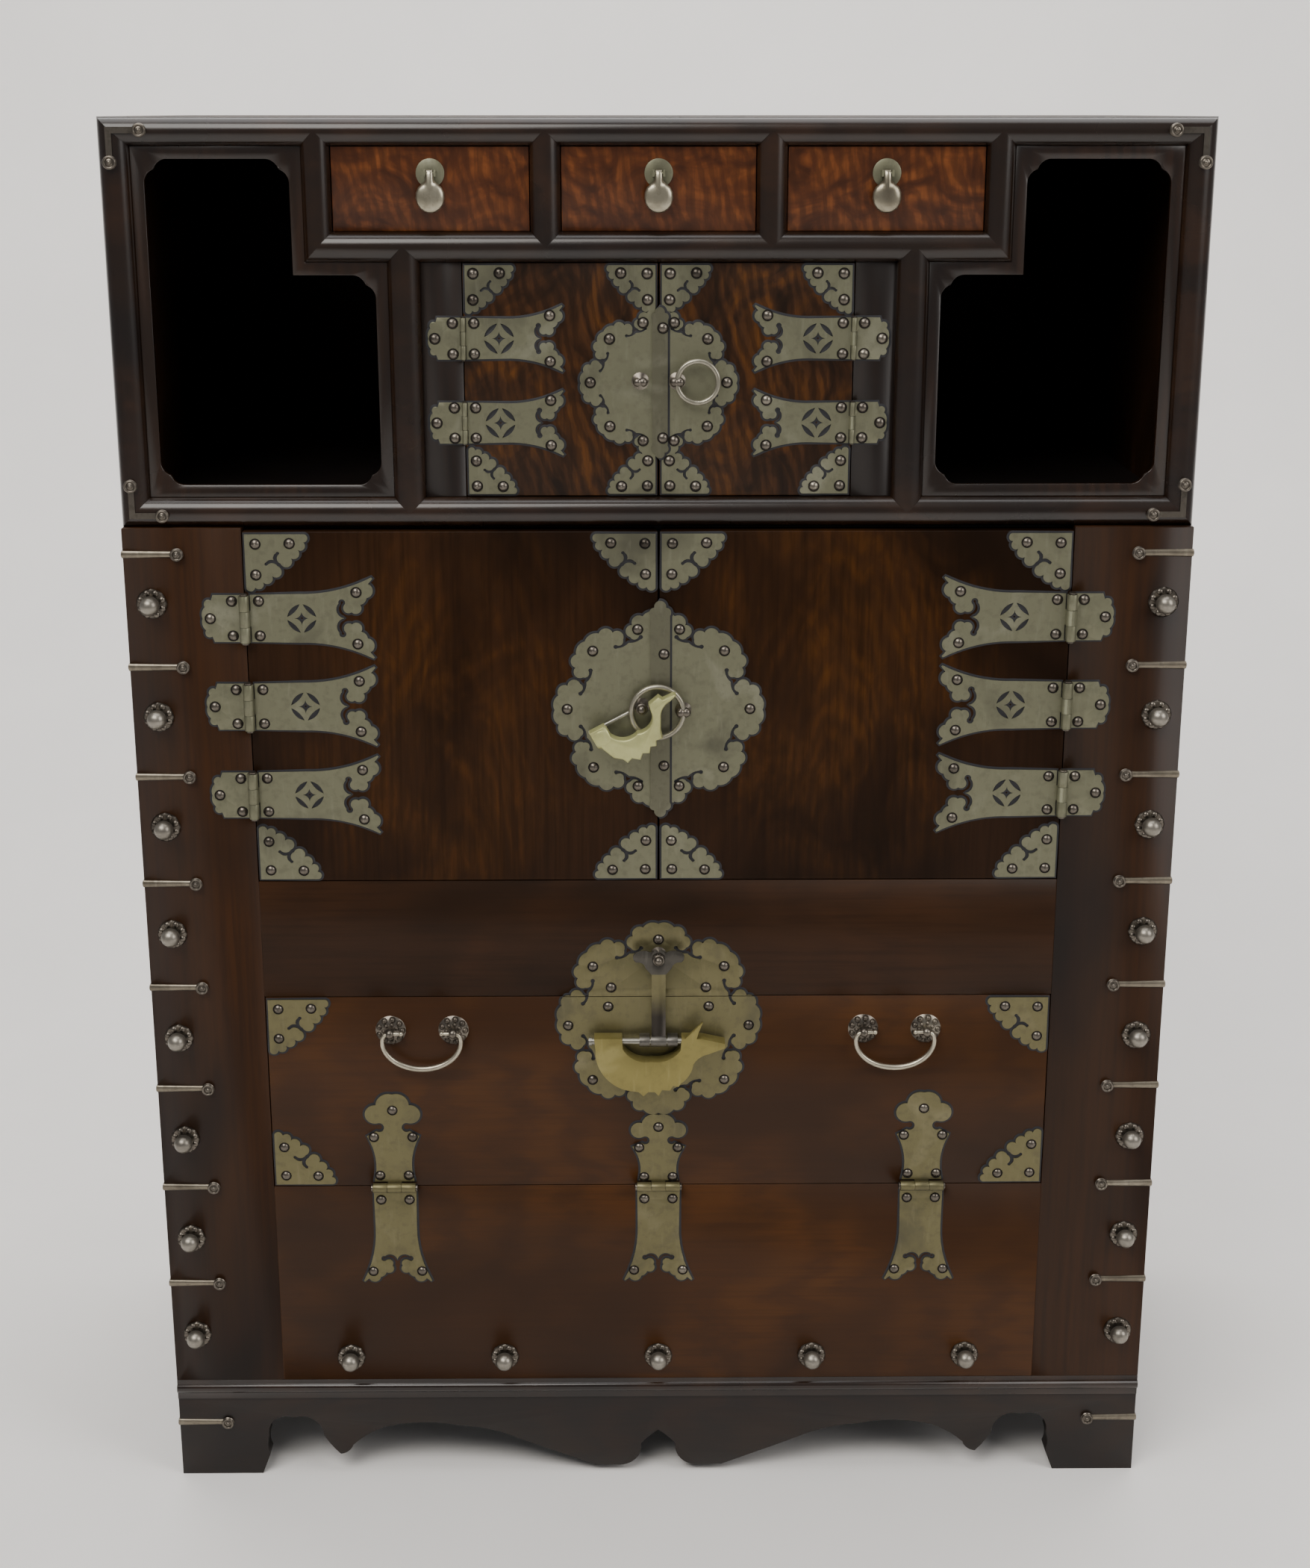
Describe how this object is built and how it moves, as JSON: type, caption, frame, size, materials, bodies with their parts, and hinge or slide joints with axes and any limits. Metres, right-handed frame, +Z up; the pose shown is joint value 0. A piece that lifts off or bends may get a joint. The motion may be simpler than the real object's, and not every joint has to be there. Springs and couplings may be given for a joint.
{
  "type": "two tier chest",
  "caption": "Two tier wooden chest on a cut apron base, with open niches, small drawers, hinged doors and a drop door, all with sheet brass mounts, padlocks and studs",
  "frame": {"origin": "centre of the bounding box's foot, on the floor", "axes": "+X to the right as the doors are faced, +Y to the back, +Z up"},
  "size_m": [0.906, 0.4458, 1.235],
  "materials": {
    "frame_wood": "dark lacquered, satin",
    "moulding_wood": "black brown lacquer, glossy",
    "inner_wood": "dark oiled",
    "panel_wood": "red brown burl, polished",
    "drawer_wood": "orange red burl, polished",
    "sheet_brass": "aged, dull",
    "lock_brass": "worn, brighter",
    "nail_metal": "aged grey brass"
  },
  "bodies": {
    "carcass": {"base_front_apron": "frame_wood", "base_side_and_back_rails": "frame_wood", "base_moulding": "moulding_wood", "lower_sides": "frame_wood", "lower_bottom_board": "inner_wood", "lower_top_board": "inner_wood", "inner_shelf": "inner_wood", "lower_front_stiles": "frame_wood", "mid_rail": "panel_wood", "lower_front_panel": "panel_wood", "upper_sides": "frame_wood", "upper_top_board": "frame_wood", "upper_bottom_board": "inner_wood", "back_panels": "inner_wood", "upper_frame_moulding": "moulding_wood", "upper_inner_mouldings": "moulding_wood", "niche_frames": "moulding_wood", "door_side_panels": "panel_wood", "niche_partitions": "inner_wood", "drawer_case_boards": "inner_wood", "fixed_hinge_leaves": "sheet_brass", "hinge_pins": "nail_metal", "rail_lock_plate": "sheet_brass", "corner_straps": "sheet_brass", "edge_staples": "nail_metal", "flower_studs": "nail_metal", "carcass_nails": "nail_metal"},
    "upper_left_door": {"upper_left_door_panel": "panel_wood", "upper_left_door_plates": "sheet_brass", "upper_left_door_nails": "nail_metal"},
    "upper_right_door": {"upper_right_door_panel": "panel_wood", "upper_right_door_plates": "sheet_brass", "upper_right_door_nails": "nail_metal"},
    "lower_left_door": {"lower_left_door_panel": "panel_wood", "lower_left_door_plates": "sheet_brass", "lower_left_door_nails": "nail_metal"},
    "lower_right_door": {"lower_right_door_panel": "panel_wood", "lower_right_door_plates": "sheet_brass", "lower_right_door_nails": "nail_metal"},
    "drop_door": {"drop_door_panel": "panel_wood", "drop_door_plates": "sheet_brass", "drop_door_nails": "nail_metal"},
    "left_drawer": {"left_drawer": "drawer_wood", "left_drawer_pull_plate": "sheet_brass"},
    "left_drawer_pull": {"left_drawer_pull": "sheet_brass"},
    "middle_drawer": {"middle_drawer": "drawer_wood", "middle_drawer_pull_plate": "sheet_brass"},
    "middle_drawer_pull": {"middle_drawer_pull": "sheet_brass"},
    "right_drawer": {"right_drawer": "drawer_wood", "right_drawer_pull_plate": "sheet_brass"},
    "right_drawer_pull": {"right_drawer_pull": "sheet_brass"},
    "upper_ring": {"upper_ring": "nail_metal"},
    "lower_ring": {"lower_ring": "nail_metal"},
    "left_bail": {"left_bail": "nail_metal"},
    "right_bail": {"right_bail": "nail_metal"},
    "hasp": {"hasp": "nail_metal"},
    "door_padlock": {"door_padlock_case": "lock_brass"},
    "door_padlock_bolt": {"door_padlock_bolt": "lock_brass"},
    "drop_padlock": {"drop_padlock_case": "lock_brass"},
    "drop_padlock_bolt": {"drop_padlock_bolt": "lock_brass"}
  },
  "joints": [
    {"name": "left_drawer_slide", "type": "slide", "parent": "carcass", "child": "left_drawer", "axis": [0, -1, 0], "range_m": [0, 0.28]},
    {"name": "left_pull_swing", "type": "hinge", "parent": "left_drawer", "child": "left_drawer_pull", "pos_m": [-0.1845, -0.1931, 1.19099], "axis": [-1, 0, 0], "range_deg": [0, 80]},
    {"name": "middle_drawer_slide", "type": "slide", "parent": "carcass", "child": "middle_drawer", "axis": [0, -1, 0], "range_m": [0, 0.28]},
    {"name": "middle_pull_swing", "type": "hinge", "parent": "middle_drawer", "child": "middle_drawer_pull", "pos_m": [0, -0.1931, 1.19099], "axis": [-1, 0, 0], "range_deg": [0, 80]},
    {"name": "right_drawer_slide", "type": "slide", "parent": "carcass", "child": "right_drawer", "axis": [0, -1, 0], "range_m": [0, 0.28]},
    {"name": "right_pull_swing", "type": "hinge", "parent": "right_drawer", "child": "right_drawer_pull", "pos_m": [0.1845, -0.1931, 1.19099], "axis": [-1, 0, 0], "range_deg": [0, 80]},
    {"name": "upper_right_door_hinge", "type": "hinge", "parent": "carcass", "child": "upper_right_door", "pos_m": [0.1608, -0.1897, 1.02473], "axis": [0, 0, 1], "range_deg": [0, 150]},
    {"name": "upper_left_door_hinge", "type": "hinge", "parent": "carcass", "child": "upper_left_door", "pos_m": [-0.1608, -0.1897, 1.02473], "axis": [0, 0, -1], "range_deg": [0, 135]},
    {"name": "upper_ring_swing", "type": "hinge", "parent": "upper_right_door", "child": "upper_ring", "pos_m": [0.0152, -0.1971, 1.02473], "axis": [0, 0, -1], "range_deg": [0, 155]},
    {"name": "lower_right_door_hinge", "type": "hinge", "parent": "carcass", "child": "lower_right_door", "pos_m": [0.3497, -0.2019, 0.74652], "axis": [0, 0, 1], "range_deg": [0, 165]},
    {"name": "lower_left_door_hinge", "type": "hinge", "parent": "carcass", "child": "lower_left_door", "pos_m": [-0.3497, -0.2019, 0.74652], "axis": [0, 0, -1], "range_deg": [0, 99]},
    {"name": "lower_ring_swing", "type": "hinge", "parent": "lower_right_door", "child": "lower_ring", "pos_m": [0.021, -0.2071, 0.74652], "axis": [0, 0, 1], "range_deg": [0, 100]},
    {"name": "door_padlock_swing", "type": "hinge", "parent": "lower_ring", "child": "door_padlock", "pos_m": [-0.0234, -0.2071, 0.74652], "axis": [0, 1, 0], "range_deg": [-12, 12]},
    {"name": "door_padlock_draw", "type": "slide", "parent": "door_padlock", "child": "door_padlock_bolt", "axis": [-0.8829, 0, -0.4695], "range_m": [0, 0.024]},
    {"name": "drop_door_hinge", "type": "hinge", "parent": "carcass", "child": "drop_door", "pos_m": [0, -0.2019, 0.29934], "axis": [1, 0, 0], "range_deg": [0, 135]},
    {"name": "hasp_hinge", "type": "hinge", "parent": "drop_door", "child": "hasp", "pos_m": [0, -0.2096, 0.44553], "axis": [1, 0, 0], "range_deg": [0, 110]},
    {"name": "drop_padlock_swing", "type": "hinge", "parent": "drop_door", "child": "drop_padlock", "pos_m": [0, -0.2096, 0.44553], "axis": [-1, 0, 0], "range_deg": [0, 35]},
    {"name": "drop_padlock_draw", "type": "slide", "parent": "drop_padlock", "child": "drop_padlock_bolt", "axis": [-1, 0, 0], "range_m": [0, 0.05]},
    {"name": "left_bail_swing", "type": "hinge", "parent": "drop_door", "child": "left_bail", "pos_m": [-0.211, -0.2066, 0.45182], "axis": [-1, 0, 0], "range_deg": [0, 100]},
    {"name": "right_bail_swing", "type": "hinge", "parent": "drop_door", "child": "right_bail", "pos_m": [0.211, -0.2066, 0.45182], "axis": [-1, 0, 0], "range_deg": [0, 100]}
  ],
  "couplings": [
    {"joint": "upper_left_door_hinge", "follows": "upper_right_door_hinge", "ratio": 0.9},
    {"joint": "lower_left_door_hinge", "follows": "lower_right_door_hinge", "ratio": 0.6}
  ]
}
